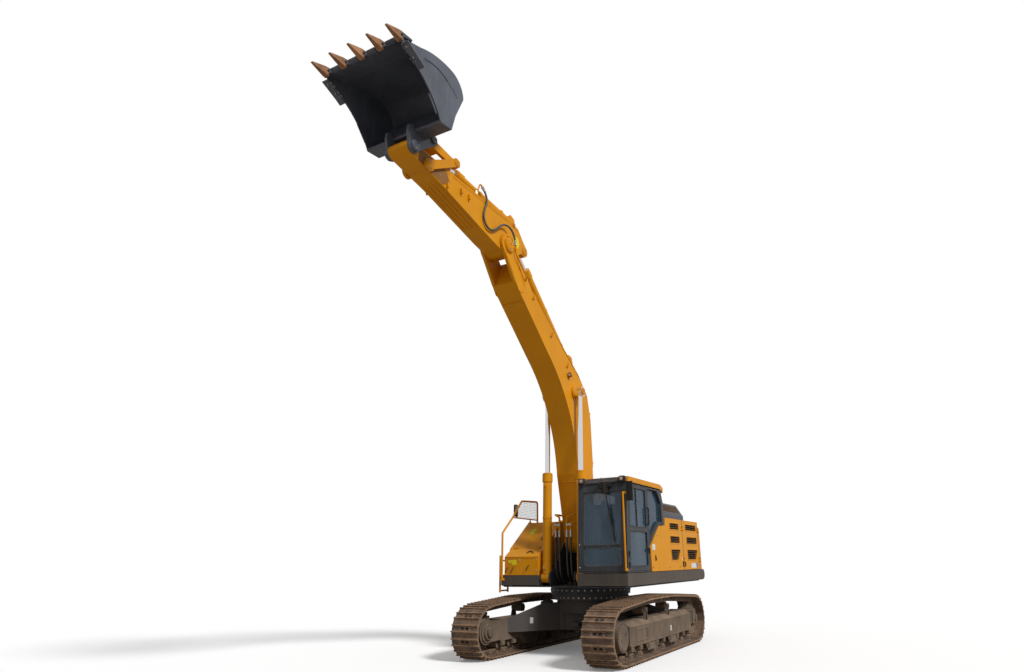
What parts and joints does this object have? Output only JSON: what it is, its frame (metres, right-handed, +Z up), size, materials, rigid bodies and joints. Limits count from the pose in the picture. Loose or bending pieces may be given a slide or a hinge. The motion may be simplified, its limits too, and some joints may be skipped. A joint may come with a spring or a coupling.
{
  "type": "crawler excavator",
  "caption": "Hydraulic crawler excavator with a turning upper structure, cab, bent boom, stick and toothed bucket on a linkage.",
  "frame": {"origin": "on the ground under the middle of the whole machine's box at rest", "axes": "+X forwards, towards the boom; +Y to the cab's side; +Z up"},
  "size_m": [11.5268, 3.34, 9.641],
  "materials": {
    "amber_paint": "gloss, dusty",
    "black_plastic": "matte",
    "blue_black_paint": "satin, scuffed",
    "chrome_rod": "polished",
    "core_metal": "finned",
    "dark_paint": "satin",
    "dusty_steel": "dusty, worn",
    "engine_block": "cast",
    "hose_rubber": "matte",
    "iron_weight": "painted",
    "roof_panel": "gloss",
    "rusty_steel": "rusted",
    "seat_fabric": "woven",
    "tinted_glass": "clear, tinted"
  },
  "bodies": {
    "carrier": {"car_body": "dusty_steel", "tie_down_eyes": "dusty_steel", "slew_ring": "dark_paint", "track_frame_left": "dusty_steel", "track_frame_right": "dusty_steel", "track_left": "rusty_steel", "track_right": "rusty_steel", "final_drives": "dusty_steel", "idlers": "dusty_steel", "track_rollers": "dusty_steel"},
    "upper": {"revolving_frame": "dark_paint", "side_skirts": "dark_paint", "counterweight": "iron_weight", "engine_house": "dark_paint", "engine": "engine_block", "cooling_pack": "core_metal", "tanks": "amber_paint", "tool_box": "amber_paint", "hand_rails": "amber_paint", "cab_shell": "dark_paint", "cab_roof": "roof_panel", "cab_glass": "tinted_glass", "operator_station": "seat_fabric", "cab_fittings": "dark_paint", "mirrors": "black_plastic", "boom_hose_1": "hose_rubber", "boom_hose_2": "hose_rubber", "boom_hose_3": "hose_rubber", "boom_hose_4": "hose_rubber"},
    "boom": {"boom": "amber_paint", "boom_pipes": "amber_paint"},
    "stick": {"stick": "amber_paint", "stick_pipes": "amber_paint", "stick_hose_left": "hose_rubber", "stick_hose_right": "hose_rubber"},
    "bucket": {"bucket": "blue_black_paint", "bucket_teeth": "rusty_steel"},
    "cab_door": {"cab_door": "dark_paint", "cab_door_glass": "tinted_glass"},
    "boom_barrel_left": {"boom_barrel_left": "amber_paint"},
    "boom_barrel_right": {"boom_barrel_right": "amber_paint"},
    "boom_rod_left": {"boom_rod_left": "chrome_rod"},
    "boom_rod_right": {"boom_rod_right": "chrome_rod"},
    "arm_barrel": {"arm_barrel": "amber_paint"},
    "arm_rod": {"arm_rod": "chrome_rod"},
    "bucket_barrel": {"bucket_barrel": "amber_paint"},
    "bucket_rod": {"bucket_rod": "chrome_rod"},
    "rocker": {"rocker": "amber_paint"},
    "link": {"link": "amber_paint"},
    "left_front_door": {"left_front_door": "amber_paint"},
    "left_rear_door": {"left_rear_door": "amber_paint"},
    "right_door": {"right_door": "amber_paint"},
    "engine_hood": {"engine_hood": "dark_paint"},
    "tool_box_lid": {"tool_box_lid": "amber_paint"}
  },
  "joints": [
    {"name": "slew", "type": "hinge", "parent": "carrier", "child": "upper", "pos_m": [-2.06308, 0, 1.11], "axis": [0, 0, 1], "continuous": true},
    {"name": "boom_lift", "type": "hinge", "parent": "upper", "child": "boom", "pos_m": [-1.78308, -0.075, 2.17], "axis": [0, 1, 0], "range_deg": [-3, 96], "deforming": ["boom_hose_1", "boom_hose_2", "boom_hose_3", "boom_hose_4"]},
    {"name": "stick_crowd", "type": "hinge", "parent": "boom", "child": "stick", "pos_m": [1.60271, -0.075, 7.69511], "axis": [0, 1, 0], "range_deg": [-14, 104], "deforming": ["stick_hose_left", "stick_hose_right"]},
    {"name": "bucket_curl", "type": "hinge", "parent": "stick", "child": "bucket", "pos_m": [4.43449, -0.075, 8.21995], "axis": [0, 1, 0], "range_deg": [-10, 135]},
    {"name": "boom_barrel_left_swing", "type": "hinge", "parent": "upper", "child": "boom_barrel_left", "pos_m": [-1.01308, -0.075, 1.45], "axis": [0, 1, 0], "range_deg": [-3.9, 93.77]},
    {"name": "boom_rod_left_stroke", "type": "slide", "parent": "boom_barrel_left", "child": "boom_rod_left", "axis": [-0.0249, 0, 0.9997], "range_m": [-1.581, 0.0591]},
    {"name": "boom_barrel_right_swing", "type": "hinge", "parent": "upper", "child": "boom_barrel_right", "pos_m": [-1.01308, -0.075, 1.45], "axis": [0, 1, 0], "range_deg": [-3.9, 93.77]},
    {"name": "boom_rod_right_stroke", "type": "slide", "parent": "boom_barrel_right", "child": "boom_rod_right", "axis": [-0.0249, 0, 0.9997], "range_m": [-1.581, 0.0591]},
    {"name": "arm_barrel_swing", "type": "hinge", "parent": "boom", "child": "arm_barrel", "pos_m": [-1.17527, -0.075, 6.09009], "axis": [0, 1, 0], "range_deg": [-1.35, 3.59]},
    {"name": "arm_rod_stroke", "type": "slide", "parent": "arm_barrel", "child": "arm_rod", "axis": [0.7593, 0, 0.6508], "range_m": [-0.1617, 1.1372]},
    {"name": "bucket_barrel_swing", "type": "hinge", "parent": "stick", "child": "bucket_barrel", "pos_m": [1.30143, -0.075, 8.44272], "axis": [0, 1, 0], "range_deg": [-6.86, 1.43]},
    {"name": "bucket_rod_stroke", "type": "slide", "parent": "bucket_barrel", "child": "bucket_rod", "axis": [0.9983, 0, 0.0589], "range_m": [-0.1073, 1.3234]},
    {"name": "rocker_swing", "type": "hinge", "parent": "stick", "child": "rocker", "pos_m": [4.02881, -0.075, 8.10408], "axis": [0, 1, 0], "range_deg": [-8.56, 103.08]},
    {"name": "link_swing", "type": "hinge", "parent": "bucket", "child": "link", "pos_m": [3.97348, -0.075, 8.62231], "axis": [0, 1, 0], "range_deg": [-89.12, 7.53]},
    {"name": "cab_door_hinge", "type": "hinge", "parent": "upper", "child": "cab_door", "pos_m": [-0.68908, 1.515, 2.4], "axis": [0, 0, -1], "range_deg": [0, 100]},
    {"name": "left_front_door_hinge", "type": "hinge", "parent": "upper", "child": "left_front_door", "pos_m": [-3.97108, 1.515, 2.1], "axis": [0, 0, 1], "range_deg": [0, 90]},
    {"name": "left_rear_door_hinge", "type": "hinge", "parent": "upper", "child": "left_rear_door", "pos_m": [-5.19708, 1.515, 2.1], "axis": [0, 0, 1], "range_deg": [0, 90]},
    {"name": "right_door_hinge", "type": "hinge", "parent": "upper", "child": "right_door", "pos_m": [-5.19708, -1.515, 2.1], "axis": [0, 0, -1], "range_deg": [0, 90]},
    {"name": "engine_hood_hinge", "type": "hinge", "parent": "upper", "child": "engine_hood", "pos_m": [-5.16108, 0.05, 2.67], "axis": [0, -1, 0], "range_deg": [0, 60]},
    {"name": "tool_box_lid_hinge", "type": "hinge", "parent": "upper", "child": "tool_box_lid", "pos_m": [-1.11496, -1.0125, 2.04877], "axis": [0, -1, 0], "range_deg": [0, 95]}
  ],
  "couplings": [
    {"joint": "boom_barrel_left_swing", "follows": "boom_lift", "ratio": 0.96638},
    {"joint": "boom_rod_left_stroke", "follows": "boom_lift", "m_per_rad": -0.93763},
    {"joint": "boom_barrel_right_swing", "follows": "boom_lift", "ratio": 0.96638},
    {"joint": "boom_rod_right_stroke", "follows": "boom_lift", "m_per_rad": -0.93763},
    {"joint": "arm_barrel_swing", "follows": "stick_crowd", "ratio": 0.024934},
    {"joint": "arm_rod_stroke", "follows": "stick_crowd", "m_per_rad": 0.62098},
    {"joint": "bucket_barrel_swing", "follows": "bucket_curl", "ratio": -0.0434},
    {"joint": "bucket_rod_stroke", "follows": "bucket_curl", "m_per_rad": 0.55742},
    {"joint": "rocker_swing", "follows": "bucket_curl", "ratio": 0.75618},
    {"joint": "link_swing", "follows": "bucket_curl", "ratio": -0.65275}
  ]
}
